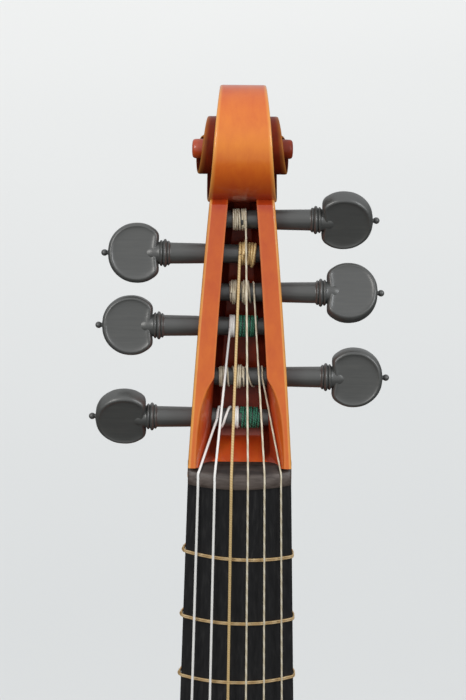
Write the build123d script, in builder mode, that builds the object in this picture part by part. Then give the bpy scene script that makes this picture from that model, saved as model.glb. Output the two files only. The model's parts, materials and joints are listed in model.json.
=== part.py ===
"""Six-string bass viol: the whole instrument, neck up, belly towards -Y.

Frame: +Z runs up the instrument to the scroll, -Y is the front, +X is the right seen from the front.
The origin is on the back of the neck, just under the nut, where a wall hanger carries the instrument.
"""
from build123d import *
import os
from math import atan2, cos, radians, sin, sqrt

os.makedirs("parts", exist_ok=True)

# Driving dimensions, in millimetres and degrees.
string_length = 695.0          # nut to bridge
neck_slope = 7.6               # the playing surface against the body's plane
head_slope = 20.0              # the pegbox against the playing surface
nut_width = 50.0
board_taper = 0.0588           # growth in width for each millimetre down the board
board_length = 470.0
board_radius_nut = 60.7
board_radius_end = 75.0
fret_count = 7
fret_width = 1.7
fret_height = 0.9
string_spread_nut = 8.0        # between neighbouring strings
string_spread_bridge = 14.0
string_diameters = {1: 0.9, 2: 0.95, 3: 1.0, 4: 1.4, 5: 1.2, 6: 1.25}
nut_point = (0.0, -25.0, 15.0)  # middle of the nut's playing edge
nut_ridge = -6.8               # the nut's back ridge, where the strings turn down to the pegs

body_length = 680.0
upper_bout = 320.0
waist = 242.0
lower_bout = 390.0
body_top = -283.0
body_bottom = body_top - body_length
rib_front = -30.0              # front edge of the ribs
rib_back = 92.0                # back edge of the ribs, below the bend
back_at_neck = 47.0            # back edge of the ribs at the neck, above the bend
bend_height = 495.0            # the bend in the back, above the body's bottom
plate_thickness = 3.5
belly_edge = 4.0
edge_overhang = 3.0
rib_thickness = 2.0
lining_width = 2.5
lining_height = 7.0
arch_centre = 370.0            # the arching is drawn around this height on the middle line
arch_outer = [(1.0, 4.0), (0.92, 6.0), (0.78, 11.5), (0.58, 17.3), (0.34, 21.5), (0.12, 23.0)]
arch_inner = [(0.90, 0.0), (0.75, 7.0), (0.56, 13.3), (0.33, 17.6), (0.12, 19.0)]

bridge_height = 78.0
bridge_span = 88.0
tail_length = 210.0
running_gap = 0.05             # between a peg and its holes

# Pegs: the string each one turns, its side, its place along the pegbox, how its thumb piece
# is turned from facing the player, and where its string lies on the shaft.
pegs = {
    1: dict(side=1, along=43.0, turn=14.0, coil=(-10.4, 11.2), arrives=10.6),
    2: dict(side=1, along=84.0, turn=-14.0, coil=(-6.2, 6.9), arrives=6.2),
    3: dict(side=1, along=119.0, turn=34.0, coil=(-4.6, 2.6), arrives=1.9),
    4: dict(side=-1, along=102.5, turn=0.0, coil=(-1.7, 7.0), arrives=-0.9),
    5: dict(side=-1, along=67.5, turn=4.0, coil=(-6.0, 8.5), arrives=-5.2),
    6: dict(side=-1, along=23.0, turn=36.0, coil=(-11.8, 9.6), arrives=-11.1),
}
peg_radius = 4.95              # at the collar
peg_taper = 1.0 / 60.0         # loss of radius for each millimetre along the shaft
peg_collar = 16.8              # from the pegbox wall to the first ring
peg_thumb_end = 46.6
peg_thumb_height = 27.6
peg_thumb_length = 23.6
peg_thumb_thickness = 9.5
pip_radius = 1.6

# Directions in the middle plane, worked out from the two slopes.
slope = radians(neck_slope)
down_board = Vector(0, -sin(slope), -cos(slope))
off_board = Vector(0, -cos(slope), sin(slope))
lean = radians(neck_slope + head_slope)
up_head = Vector(0, sin(lean), cos(lean))
into_head = Vector(0, cos(lean), -sin(lean))
head_root = Vector(*nut_point) - down_board * 10.0 - off_board * 2.5


def board_point(x, along, height):
    """A point over the board: across, down from the nut, and up from the playing surface."""
    return Vector(*nut_point) + Vector(x, 0, 0) + down_board * along + off_board * height


def head_point(x, along, depth):
    """A point in the head: across, up from the nut end, and back from the pegbox's rim."""
    return head_root + Vector(x, 0, 0) + up_head * along + into_head * depth


def board_plane(along):
    """The plane square to the board, with its own y off the playing surface."""
    return Plane(origin=board_point(0, along, 0), x_dir=(1, 0, 0), z_dir=down_board)


def front_plane(y):
    """The plane that faces the player at this y, with its own y up from the body's bottom."""
    return Plane(origin=(0, y, body_bottom), x_dir=(1, 0, 0), z_dir=(0, -1, 0))


head_side = Plane(origin=head_root, x_dir=up_head, z_dir=(-1, 0, 0))
head_front = Plane(origin=head_root, x_dir=(1, 0, 0), z_dir=into_head * -1)


def save(part, name):
    """Label a finished piece and write its STEP file."""
    part.label = name
    export_step(part, f"parts/{name}.step")


def board_half_width(along):
    return (nut_width + board_taper * along) / 2


def board_radius(along):
    return board_radius_nut + (board_radius_end - board_radius_nut) * along / board_length


def board_fall(x, along):
    """How far the rounded playing surface lies below its middle, at x."""
    r = board_radius(along)
    return r - sqrt(r * r - x * x)


def board_underside(along):
    return -9.2 - 6.3 * along / board_length


def neck_back(along):
    return -27.0 - 6.0 * along / 265.0


# ---------------------------------------------------------------- body outline
tail_corner = (lower_bout / 3, 36)
neck_corner = (27, body_length)
with BuildSketch() as outline:
    with BuildLine():
        tail_arc = ThreePointArc((-tail_corner[0], tail_corner[1]), (0, 0), tail_corner)
        hip = TangentArc(tail_arc @ 1, (lower_bout / 2, 165), tangent=tail_arc % 1)
        lower_flank = TangentArc(hip @ 1, (150, 302), tangent=hip % 1)
        waist_arc = ThreePointArc(lower_flank @ 1, (waist / 2, 366), (139, 430))
        upper_flank = TangentArc(waist_arc @ 1, (upper_bout / 2, 500), tangent=(0.574, 0.819))
        shoulder = TangentArc(upper_flank @ 1, (122, 590), tangent=upper_flank % 1)
        slope_arc = TangentArc(shoulder @ 1, (62, 636), tangent=shoulder % 1)
        neck_arc = TangentArc(slope_arc @ 1, neck_corner, tangent=slope_arc % 1)
        right_side = [hip, lower_flank, waist_arc, upper_flank, shoulder, slope_arc, neck_arc]
        mirror(right_side, about=Plane.YZ)
        Line(neck_corner, (-neck_corner[0], neck_corner[1]))
    make_face()

with BuildSketch() as rib_outline:
    add(outline.sketch)
    offset(amount=-edge_overhang, kind=Kind.INTERSECTION)

with BuildSketch() as air_outline:
    add(outline.sketch)
    offset(amount=-edge_overhang - rib_thickness, kind=Kind.INTERSECTION)

with BuildSketch() as lining_outline:
    add(outline.sketch)
    offset(amount=-edge_overhang - rib_thickness - lining_width, kind=Kind.INTERSECTION)


def arch_section(share):
    """The outline drawn smaller about the arching's centre."""
    smaller = scale(outline.sketch, by=share, mode=Mode.PRIVATE)
    return Pos(0, arch_centre * (1 - share)) * smaller


# Everything behind the inside face of the back: flat below the bend, sloping forward above it.
with BuildPart() as behind:
    with BuildSketch(Plane.YZ):
        with BuildLine():
            Polyline(
                (rib_back, body_bottom - 20),
                (rib_back, body_bottom + bend_height),
                (back_at_neck, body_top),
                (back_at_neck - 8, body_top + 35),
                (rib_back + 80, body_top + 35),
                (rib_back + 80, body_bottom - 20),
                close=True,
            )
        make_face()
    extrude(amount=lower_bout, both=True)

# The air inside the box, which every inner piece is trimmed to.
with BuildPart() as air:
    with BuildSketch(front_plane(rib_back)):
        add(air_outline.sketch)
    extrude(amount=rib_back - rib_front)
    add(behind.part, mode=Mode.SUBTRACT)
with BuildPart() as dome_air:
    for share, height in arch_inner:
        with BuildSketch(front_plane(rib_front - height)):
            add(arch_section(share))
    loft()

# ---------------------------------------------------------------- sound box
sound_hole_length = 112.0
with BuildPart() as belly:
    with BuildSketch(front_plane(rib_front)):
        add(outline.sketch)
    extrude(amount=belly_edge)
    for share, height in arch_outer:
        with BuildSketch(front_plane(rib_front - height)):
            add(arch_section(share))
    loft()
    add(dome_air.part, mode=Mode.SUBTRACT)
    with BuildSketch(front_plane(rib_front + 5)):
        for side in (-1, 1):
            with BuildLine():
                tip_low = (side * 96, 300)
                tip_high = (side * 92, 300 + sound_hole_length)
                ThreePointArc(tip_low, (side * 72, 357), tip_high)
                ThreePointArc(tip_high, (side * 80.5, 356), tip_low)
            make_face()
            with Locations((side * 95, 303), (side * 91, 297 + sound_hole_length)):
                Circle(5.2)
    extrude(amount=60, mode=Mode.SUBTRACT)

# The belly is two matched boards, glued along the middle line.
for side_name, side in (("left", -1), ("right", 1)):
    with BuildPart() as half_belly:
        add(belly.part)
        with BuildSketch(front_plane(rib_front + 5)):
            with Locations((side * lower_bout / 2, body_length / 2)):
                Rectangle(lower_bout, body_length + 20)
        extrude(amount=60, mode=Mode.INTERSECT)
    save(half_belly.part, f"belly_{side_name}")

with BuildPart() as back_plate:
    with BuildSketch(front_plane(rib_back + 10)):
        add(outline.sketch)
    extrude(amount=rib_back - rib_front)
    with BuildSketch(Plane.YZ):
        with BuildLine():
            Polyline(
                (rib_back, body_bottom - 5),
                (rib_back, body_bottom + bend_height),
                (back_at_neck, body_top),
                (back_at_neck - 1.2, body_top + 5),
                (back_at_neck - 1.2 + plate_thickness, body_top + 5),
                (rib_back + plate_thickness, body_bottom + bend_height + 1),
                (rib_back + plate_thickness, body_bottom - 5),
                close=True,
            )
        make_face()
    extrude(amount=lower_bout, both=True, mode=Mode.INTERSECT)
save(back_plate.part, "back_plate")


def rib(name, side, low, high):
    """One strip of the side wall, between two heights above the body's bottom."""
    with BuildPart() as strip:
        with BuildSketch(front_plane(rib_back)):
            add(rib_outline.sketch)
            add(air_outline.sketch, mode=Mode.SUBTRACT)
        extrude(amount=rib_back - rib_front)
        with BuildSketch(front_plane(rib_back + 5)):
            with Locations((side * lower_bout / 2, (low + high) / 2)):
                Rectangle(lower_bout, high - low)
        extrude(amount=rib_back - rib_front + 20, mode=Mode.INTERSECT)
        add(behind.part, mode=Mode.SUBTRACT)
    save(strip.part, name)


for side_name, side in (("left", -1), ("right", 1)):
    rib(f"rib_lower_{side_name}", side, -10, 302)
    rib(f"rib_waist_{side_name}", side, 302, 430)
    rib(f"rib_upper_{side_name}", side, 430, body_length + 10)


def inner_piece(name, build_sketch, near, far):
    """A block cut square to the front from near to far, then trimmed to the inside of the ribs."""
    with BuildPart() as piece:
        with BuildSketch(front_plane(far)):
            build_sketch()
        extrude(amount=far - near)
        add(air.part, mode=Mode.INTERSECT)
    save(piece.part, name)


def neck_block_face():
    with Locations((0, body_length - 34)):
        Rectangle(66, 58)


def tail_block_face():
    with Locations((0, 18)):
        Rectangle(88, 30)


def corner_block_faces():
    for side in (-1, 1):
        with Locations((side * 141, 306), (side * 131, 426)):
            Rectangle(34, 34, rotation=side * 12)
    add(air_outline.sketch, mode=Mode.INTERSECT)


inner_piece("neck_block", neck_block_face, rib_front, rib_back)
inner_piece("tail_block", tail_block_face, rib_front, rib_back)
inner_piece("corner_blocks", corner_block_faces, rib_front, rib_back)


def lining(name, front):
    """The strips glued inside the ribs' front or back edge, between the blocks."""
    with BuildPart() as strips:
        with BuildSketch(front_plane(rib_back)):
            add(air_outline.sketch)
            add(lining_outline.sketch, mode=Mode.SUBTRACT)
            with Locations((0, body_length - 23), (0, -7)):
                Rectangle(90, 80, mode=Mode.SUBTRACT)
            for side in (-1, 1):
                with Locations((side * 141, 306), (side * 131, 426)):
                    Rectangle(34.4, 34.4, rotation=side * 12, mode=Mode.SUBTRACT)
        extrude(amount=rib_back - rib_front)
        add(behind.part, mode=Mode.SUBTRACT)
        if front:
            with BuildSketch(front_plane(rib_front + lining_height)):
                with Locations((0, body_length / 2)):
                    Rectangle(lower_bout, body_length)
            extrude(amount=lining_height, mode=Mode.INTERSECT)
        else:
            add(Pos(0, -lining_height, 0) * behind.part, mode=Mode.INTERSECT)
    save(strips.part, name)


lining("linings_front", True)
lining("linings_back", False)

with BuildPart() as bass_bar:
    with BuildSketch(front_plane(rib_front + 6)):
        with Locations((-32, 330)):
            Rectangle(8, 470)
    extrude(amount=40)
    add(dome_air.part, mode=Mode.INTERSECT)
    with BuildSketch(Plane.YZ):
        with BuildLine():
            bar_low = (rib_front - 4, body_bottom + 92)
            bar_high = (rib_front - 4, body_bottom + 568)
            ThreePointArc(bar_low, (rib_front - 2, body_bottom + 330), bar_high)
            Polyline(bar_high, (-80, body_bottom + 568), (-80, body_bottom + 92), bar_low)
        make_face()
    extrude(amount=80, both=True, mode=Mode.INTERSECT)
save(bass_bar.part, "bass_bar")

brace_thickness = 4.0
with BuildPart() as soundpost_plate:
    with BuildSketch(front_plane(rib_back)):
        with Locations((0, 250)):
            Rectangle(lower_bout, 72)
        add(lining_outline.sketch, mode=Mode.INTERSECT)
    extrude(amount=brace_thickness)
save(soundpost_plate.part, "soundpost_plate")

with BuildPart() as back_braces:
    with BuildSketch(front_plane(rib_back)):
        with Locations((0, 110), (0, 464)):
            Rectangle(lower_bout, 22)
        add(lining_outline.sketch, mode=Mode.INTERSECT)
    extrude(amount=brace_thickness + 5)
save(back_braces.part, "back_braces")

with BuildPart() as soundpost:
    with BuildSketch(front_plane(rib_back - brace_thickness)):
        with Locations((32, 268)):
            Circle(5.5)
    extrude(amount=180)
    with BuildSketch(front_plane(rib_back)):
        with Locations((0, 268)):
            Rectangle(200, 60)
    extrude(amount=rib_back - rib_front, mode=Mode.INTERSECT)
with BuildPart() as soundpost_top:
    with BuildSketch(front_plane(rib_front)):
        with Locations((32, 268)):
            Circle(5.5)
    extrude(amount=60)
    add(dome_air.part, mode=Mode.INTERSECT)
with BuildPart() as whole_soundpost:
    add(soundpost.part)
    add(soundpost_top.part)
save(whole_soundpost.part, "soundpost")

# ---------------------------------------------------------------- board, nut and frets


def rounded_section(along, top, bottom, half_width):
    """A section of the board or nut: rounded over the top, square below."""
    fall = board_fall(half_width, max(along, 0))
    left, right = (-half_width, top - fall), (half_width, top - fall)
    with BuildSketch() as section:
        with BuildLine():
            ThreePointArc(left, (0, top), right)
            Polyline(right, (half_width, bottom), (-half_width, bottom), left)
        make_face()
    return section.sketch


with BuildPart() as fingerboard:
    for along in (0.0, board_length):
        with BuildSketch(board_plane(along)):
            add(rounded_section(along, 0, board_underside(along), board_half_width(along)))
    loft()
save(fingerboard.part, "fingerboard")

with BuildPart() as nut:
    for along, top in ((0.0, 1.3), (nut_ridge, -0.5), (-9.5, -6.2)):
        with BuildSketch(board_plane(along)):
            add(rounded_section(along, top, -12.0, nut_width / 2))
    loft(ruled=True)
save(nut.part, "nut")


def fret_place(number):
    """Each semitone shortens the string by the twelfth root of two."""
    return string_length * (1 - 2 ** (-number / 12))


def neck_section(along, grow):
    """The board and neck together, seen end on, and grown by a margin."""
    half = board_half_width(along)
    fall = board_fall(half, along)
    left, right = (-half, -fall), (half, -fall)
    low_left, low_right = (-half, board_underside(along)), (half, board_underside(along))
    with BuildSketch() as section:
        with BuildLine():
            ThreePointArc(left, (0, 0), right)
            Line(right, low_right)
            ThreePointArc(low_right, (0, neck_back(along)), low_left)
            Line(low_left, left)
        make_face()
        offset(amount=grow, kind=Kind.INTERSECTION)
    return section.sketch


for number in range(1, fret_count + 1):
    place = fret_place(number)
    with BuildPart() as fret:
        with BuildSketch(board_plane(place - fret_width / 2)):
            add(neck_section(place, fret_height))
            add(neck_section(place, 0.06), mode=Mode.SUBTRACT)
        extrude(amount=fret_width)
    save(fret.part, f"fret_{number}")

# ---------------------------------------------------------------- scroll
volute_along = 154.0
volute_depth = 15.0
volute_radii = [31.0, 30.5, 28.6, 25.3, 20.2, 15.4, 13.6, 12.0, 9.4, 6.5]  # every quarter turn
eye_radius = 4.7
eye_half_width = 24.0


def volute_radius(quarter):
    """The spiral's radius, in quarter turns from its top over the front, starting at -1."""
    place = quarter + 1
    whole = min(int(place), len(volute_radii) - 2)
    part = place - whole
    return volute_radii[whole] * (1 - part) + volute_radii[whole + 1] * part


def volute_point(quarter):
    angle = radians(90 * quarter)
    r = volute_radius(quarter)
    return (volute_along + r * cos(angle), volute_depth - r * sin(angle))


def volute_disc(first, last):
    """One whole turn of the spiral, closed by a step."""
    with BuildSketch() as disc:
        with BuildLine():
            curve = Spline(*[volute_point(first + step * (last - first) / 12) for step in range(13)])
            Line(curve @ 1, curve @ 0)
        make_face()
    return disc.sketch


def volute_turn(first, last, top, top_half, bottom, bottom_half):
    """A turn of the volute, wider at its bottom than at its top."""
    with BuildPart() as turn:
        with BuildSketch(head_side):
            add(volute_disc(first, last))
        extrude(amount=30, both=True)
        with BuildSketch(head_front):
            Polygon(
                (-top_half, top), (top_half, top), (bottom_half, bottom), (-bottom_half, bottom),
                align=None,
            )
        extrude(amount=60, both=True, mode=Mode.INTERSECT)
    return turn.part


outer_turn = volute_turn(-1.0, 2.9, 190.0, 10.5, 115.0, 18.1)
inner_turn = volute_turn(3.2, 7.1, 172.0, 16.6, 140.0, 22.0)

# ---------------------------------------------------------------- neck and head, one piece of maple
pegbox_top = 134.0
cavity_top = 130.5
with BuildPart() as cheeks:
    with BuildSketch(head_side):
        with BuildLine():
            rim = Polyline((-6, 10), (0, 0), (pegbox_top, 0), (142, 6), (150, 20), (143, 40))
            back = Spline((143, 40), (128, 30), (80, 29.5), (30, 32.5), (-4, 31))
            Line(back @ 1, rim @ 0)
        make_face()
    extrude(amount=40, both=True)
    with BuildSketch(head_front):
        with BuildLine():
            right_edge = ThreePointArc((25.6, -12), (20.4, 68), (13.6, 152))
            mirror(about=Plane.YZ)
            Line((25.6, -12), (-25.6, -12))
            Line((13.6, 152), (-13.6, 152))
        make_face()
    extrude(amount=80, both=True, mode=Mode.INTERSECT)

with BuildPart() as cavity:
    with BuildSketch(head_side):
        Polygon(
            (1, -25), (1, 5), (13, 21), (40, 24), (80, 21.5), (118, 19), (cavity_top, 13),
            (cavity_top, -25), align=None,
        )
    extrude(amount=30, both=True)
    with BuildSketch(head_front):
        with BuildLine():
            cavity_edge = ThreePointArc((14.8, 0), (10.8, 72), (6.3, cavity_top + 2))
            mirror(about=Plane.YZ)
            Line((14.8, 0), (-14.8, 0))
            Line((6.3, cavity_top + 2), (-6.3, cavity_top + 2))
        make_face()
    extrude(amount=80, both=True, mode=Mode.INTERSECT)

# Hollows in the cheeks beside the nut, which the outer strings pass through.
with BuildPart() as scoops:
    with BuildSketch(head_front.offset(-9.0)):
        Polygon((-19.5, 0.5), (19.5, 0.5), (12.4, 34), (-12.4, 34), align=None)
    with BuildSketch(head_front.offset(4.0)):
        Polygon((-21.8, -3), (21.8, -3), (13.0, 48), (-13.0, 48), align=None)
    loft(ruled=True)

heel_end = body_top - edge_overhang
with BuildPart() as heel:
    with BuildSketch(Plane.YZ):
        with BuildLine():
            heel_face = board_point(0, 300, board_underside(300))
            throat = board_point(0, 250, neck_back(250))
            start = board_point(0, 250, board_underside(250))
            Line((start.Y, start.Z), (heel_face.Y, heel_end))
            Line((heel_face.Y, heel_end), (back_at_neck + 2, heel_end))
            Line((back_at_neck + 2, heel_end), (back_at_neck + 2, heel_end + 8))
            ThreePointArc((back_at_neck + 2, heel_end + 8), (2, heel_end + 26), (throat.Y, throat.Z))
            Line((throat.Y, throat.Z), (start.Y, start.Z))
        make_face()
    extrude(amount=40, both=True)
    with BuildSketch(Plane.XY.offset(heel_end - 5)):
        with BuildLine():
            ThreePointArc((25, 22), (0, back_at_neck + 1.5), (-25, 22))
            Polyline((-25, 22), (-33.6, -30), (-33.6, -90), (33.6, -90), (33.6, -30), (25, 22))
        make_face()
    extrude(amount=90, mode=Mode.INTERSECT)


def peg_frame(number):
    """The frame of a peg: its z out along the shaft, its x across the thumb piece's face."""
    peg = pegs[number]
    centre = head_point(0, peg["along"], peg_depth(peg["along"]))
    tilt = radians(neck_slope + 26.0 - peg["turn"])
    return Plane(origin=centre, x_dir=(0, sin(tilt), cos(tilt)), z_dir=(peg["side"], 0, 0))


def peg_depth(along):
    return 15.4 - 0.03 * along


def wall_outside(along):
    """Half the pegbox's width at this place, on the outside."""
    return 24.9 - 0.0585 * along - 0.00012 * along * along


def shaft_radius(out, along):
    """The shaft's radius at this distance out from the pegbox's middle."""
    return peg_radius - peg_taper * (wall_outside(along) + peg_collar - out)


def bore_cutter(number):
    """The tapered hole through both cheeks for one peg."""
    along = pegs[number]["along"]
    low, high = -wall_outside(along) - 8, wall_outside(along) + 8
    with BuildPart() as cutter:
        with BuildSketch(Plane.XZ):
            Polygon(
                (0, low), (shaft_radius(low, along) + running_gap, low),
                (shaft_radius(high, along) + running_gap, high), (0, high), align=None,
            )
        revolve(axis=Axis.Z)
    return peg_frame(number).location * cutter.part


with BuildPart() as neck_and_head:
    for along in (-6.0, 265.0):
        with BuildSketch(board_plane(along)):
            with BuildLine():
                half = board_half_width(along)
                low = board_underside(along)
                ThreePointArc((half, low), (0, neck_back(along)), (-half, low))
                Line((-half, low), (half, low))
            make_face()
    loft()
    add(cheeks.part)
    add(heel.part)
    add(cavity.part, mode=Mode.SUBTRACT)
    add(scoops.part, mode=Mode.SUBTRACT)
    add(outer_turn)
    add(inner_turn)
    with BuildSketch(head_side):
        with Locations((volute_along, volute_depth)):
            Circle(eye_radius)
    extrude(amount=eye_half_width, both=True)
    for number in pegs:
        add(bore_cutter(number), mode=Mode.SUBTRACT)
    add(nut.part, mode=Mode.SUBTRACT)
    add(fingerboard.part, mode=Mode.SUBTRACT)
    add(belly.part, mode=Mode.SUBTRACT)
    add(back_plate.part, mode=Mode.SUBTRACT)
save(neck_and_head.part, "neck_and_head")

# ---------------------------------------------------------------- pegs and their windings


def peg_profile(along):
    """Half of the turned shaft with its rings, neck and end pip, as radius against distance out."""
    wall = wall_outside(along)
    ring = wall + peg_collar
    low = -wall + 0.5
    pip_middle = wall + peg_thumb_end + 1.5
    with BuildSketch() as profile:
        with BuildLine():
            shaft = Polyline(
                (0, low), (shaft_radius(low, along), low), (peg_radius, ring), (6.5, ring + 0.6),
                (6.5, ring + 1.8), (5.3, ring + 2.3), (6.5, ring + 2.8), (6.5, ring + 4.0),
                (4.6, ring + 4.6), (4.2, ring + 6.0), (4.2, ring + 11), (0.8, ring + 20),
                (0.8, pip_middle - sqrt(pip_radius**2 - 0.8**2)),
            )
            pip = ThreePointArc(shaft @ 1, (pip_radius, pip_middle), (0, pip_middle + pip_radius))
            Line(pip @ 1, shaft @ 0)
        make_face()
    return profile.sketch


def thumb_outline(tip):
    """The thumb piece: a round end, fuller shoulders and a hollow where it meets the neck."""
    half = peg_thumb_height / 2
    root = tip - peg_thumb_length
    with BuildSketch() as face:
        with BuildLine():
            crown = ThreePointArc((-half, tip - 11), (0, tip), (half, tip - 11))
            lobe = ThreePointArc(crown @ 1, (half - 1.4, tip - 18.5), (6.5, root))
            hollow = ThreePointArc(lobe @ 1, (0, root + 3), (-6.5, root))
            ThreePointArc(hollow @ 1, (1.4 - half, tip - 18.5), crown @ 0)
        make_face()
    return face.sketch


def make_peg(number):
    along = pegs[number]["along"]
    with BuildPart() as peg:
        with BuildSketch(Plane.XZ.offset(-peg_thumb_thickness / 2)):
            add(thumb_outline(wall_outside(along) + peg_thumb_end))
        extrude(amount=peg_thumb_thickness)
        chamfer(peg.edges(), length=1.6)
        with BuildSketch(Plane.YZ):
            add(peg_profile(along))
        revolve(axis=Axis.Z)
    save(peg_frame(number).location * peg.part, f"peg_{number}")


def coil_radius(number):
    """The middle of the shaft's radius under the coil, with one layer of string on it."""
    along = pegs[number]["along"]
    return shaft_radius(0, along) + string_diameters[number]


def make_winding(number):
    """The string's turns on the shaft, as one sleeve of their outer size."""
    peg = pegs[number]
    along = peg["along"]
    ends = sorted(peg["side"] * place for place in peg["coil"])
    layer = string_diameters[number]
    with BuildPart() as winding:
        with BuildSketch(Plane.XZ):
            Polygon(
                *[(shaft_radius(out, along) + extra, out)
                  for out, extra in ((ends[0], 0), (ends[0], layer), (ends[1], layer), (ends[1], 0))],
                align=None,
            )
        revolve(axis=Axis.Z)
    save(peg_frame(number).location * winding.part, f"winding_{number}")


for number in pegs:
    make_peg(number)
    make_winding(number)

# ---------------------------------------------------------------- bridge, tailpiece and hook
bridge_place = board_point(0, string_length, 0)
bridge_top = rib_front - arch_outer[-1][1] - bridge_height
bridge_radius = 70.0


def bridge_fall(x):
    return bridge_radius - sqrt(bridge_radius**2 - x * x)


with BuildPart() as bridge:
    foot_line = rib_front - arch_outer[-1][1] + 4
    with BuildSketch(Plane.XY.offset(bridge_place.Z - 5)):
        with BuildLine():
            half_top = 2.5 * string_spread_bridge + 5
            crown = ThreePointArc(
                (-half_top, bridge_top + bridge_fall(half_top)), (0, bridge_top),
                (half_top, bridge_top + bridge_fall(half_top)),
            )
            right_side = Spline(
                crown @ 1, (34, bridge_top + 26), (30, bridge_top + 42), (bridge_span / 2 - 4, foot_line - 10)
            )
            left_side = Spline(
                crown @ 0, (-34, bridge_top + 26), (-30, bridge_top + 42), (-bridge_span / 2 + 4, foot_line - 10)
            )
            Polyline(right_side @ 1, (bridge_span / 2, foot_line), (18, foot_line))
            Polyline(left_side @ 1, (-bridge_span / 2, foot_line), (-18, foot_line))
            ThreePointArc((18, foot_line), (0, foot_line - 28), (-18, foot_line))
        make_face()
        with Locations((0, bridge_top + 30)):
            Circle(6.5, mode=Mode.SUBTRACT)
        with Locations((-19, bridge_top + 34), (19, bridge_top + 34)):
            Ellipse(4.5, 9, mode=Mode.SUBTRACT)
    extrude(amount=10)
    with BuildSketch(Plane.YZ):
        Polygon(
            (foot_line, bridge_place.Z - 5), (foot_line, bridge_place.Z + 5),
            (bridge_top - 5, bridge_place.Z + 1.7), (bridge_top - 5, bridge_place.Z - 1.7),
            align=None,
        )
    extrude(amount=60, both=True, mode=Mode.INTERSECT)
    add(belly.part, mode=Mode.SUBTRACT)
save(bridge.part, "bridge")

tail_top_z = body_bottom + tail_length
tail_top_y = bridge_top + 34.0
tail_end_y = -74.0
tail_lean = atan2(tail_end_y - tail_top_y, tail_length)
tail_down = Vector(0, sin(tail_lean), -cos(tail_lean))


def tail_plane(along):
    origin = Vector(0, tail_top_y, tail_top_z) + tail_down * along
    return Plane(origin=origin, x_dir=(1, 0, 0), z_dir=tail_down)


hook_half_width = 7.0
with BuildPart() as hook_bar:
    with BuildSketch(Plane.YZ):
        with BuildLine():
            Polyline(
                (rib_back - 20, body_bottom + edge_overhang), (rib_back - 26, body_bottom - 6),
                (rib_front - 10, body_bottom - 8), (-90, body_bottom - 9), (-90, body_bottom - 1),
                (-72, body_bottom - 1.3), (-56, body_bottom + edge_overhang), close=True,
            )
        make_face()
    extrude(amount=hook_half_width, both=True)
    with BuildSketch(front_plane(rib_back)):
        add(rib_outline.sketch)
    extrude(amount=rib_back - rib_front, mode=Mode.SUBTRACT)
    with BuildSketch(front_plane(rib_front)):
        add(outline.sketch)
    extrude(amount=belly_edge + 2, mode=Mode.SUBTRACT)
save(hook_bar.part, "hook_bar")

with BuildPart() as tailpiece:
    for along, half, drop in ((0.0, 40.0, 9.0), (60.0, 34.0, 7.0), (tail_length + 4, 17.0, 2.5)):
        with BuildSketch(tail_plane(along)):
            with BuildLine():
                ThreePointArc((-half, 4 - drop), (0, 4), (half, 4 - drop))
                Line((half, 4 - drop), (half, -2.2 - drop))
                ThreePointArc((half, -2.2 - drop), (0, -4), (-half, -2.2 - drop))
                Line((-half, -2.2 - drop), (-half, 4 - drop))
            make_face()
    loft()
    with BuildSketch(Plane.YZ):
        with Locations((-80, body_bottom - 5.5)):
            Rectangle(60, 9.4)
    extrude(amount=hook_half_width + 0.3, both=True, mode=Mode.SUBTRACT)
save(tailpiece.part, "tailpiece")

# ---------------------------------------------------------------- strings


def string_route(number):
    """Tailpiece, bridge, nut, the nut's ridge and the front of its own coil, in that order."""
    rank = 3.5 - number
    radius = string_diameters[number] / 2
    peg = pegs[number]
    at_nut = rank * string_spread_nut
    at_bridge = rank * string_spread_bridge
    at_tail = rank * 11.5
    front = peg_depth(peg["along"]) - coil_radius(number) - radius - 0.3
    tail_point = tail_plane(-0.4)
    return [
        tail_point.origin + Vector(at_tail, 0, 0) + tail_point.y_dir * (0.8 - 0.006 * at_tail**2),
        Vector(at_bridge, bridge_top + bridge_fall(at_bridge) - radius, bridge_place.Z),
        board_point(at_nut, 0, 1.3 - board_fall(at_nut, 0) + radius + 0.1),
        board_point(at_nut, nut_ridge + 0.3, radius - 0.1 - board_fall(at_nut, 0)),
        head_point(peg["arrives"], peg["along"] - 1.0, front),
    ]


for number in pegs:
    with BuildPart() as string:
        with BuildLine():
            route = FilletPolyline(*string_route(number), radius=[6.0, 3.0, 3.0])
        with BuildSketch(Plane(origin=route @ 0, z_dir=route % 0)):
            Circle(string_diameters[number] / 2)
        sweep(path=route)
    save(string.part, f"string_{number}")
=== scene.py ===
import json
import math

import bmesh
import bpy
import numpy as np
from mathutils import Matrix, Vector


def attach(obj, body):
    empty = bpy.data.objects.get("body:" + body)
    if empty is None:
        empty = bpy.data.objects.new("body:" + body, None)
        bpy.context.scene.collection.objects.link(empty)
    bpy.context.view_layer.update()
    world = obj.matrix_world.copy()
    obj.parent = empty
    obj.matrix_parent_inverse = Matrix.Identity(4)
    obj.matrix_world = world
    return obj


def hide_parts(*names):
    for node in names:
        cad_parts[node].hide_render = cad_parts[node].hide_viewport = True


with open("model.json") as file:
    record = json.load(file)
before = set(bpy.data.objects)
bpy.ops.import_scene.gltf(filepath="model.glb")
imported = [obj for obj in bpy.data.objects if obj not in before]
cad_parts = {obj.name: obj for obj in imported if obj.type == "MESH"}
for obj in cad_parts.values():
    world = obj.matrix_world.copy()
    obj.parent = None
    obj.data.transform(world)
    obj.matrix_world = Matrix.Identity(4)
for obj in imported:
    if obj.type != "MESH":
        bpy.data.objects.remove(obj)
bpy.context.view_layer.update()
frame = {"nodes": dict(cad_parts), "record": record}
nodes = frame["nodes"]
slots = {part["node"]: part["material_slot"] for part in frame["record"]["subparts"]}
print("frame loaded with", len(nodes), "nodes")

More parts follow.
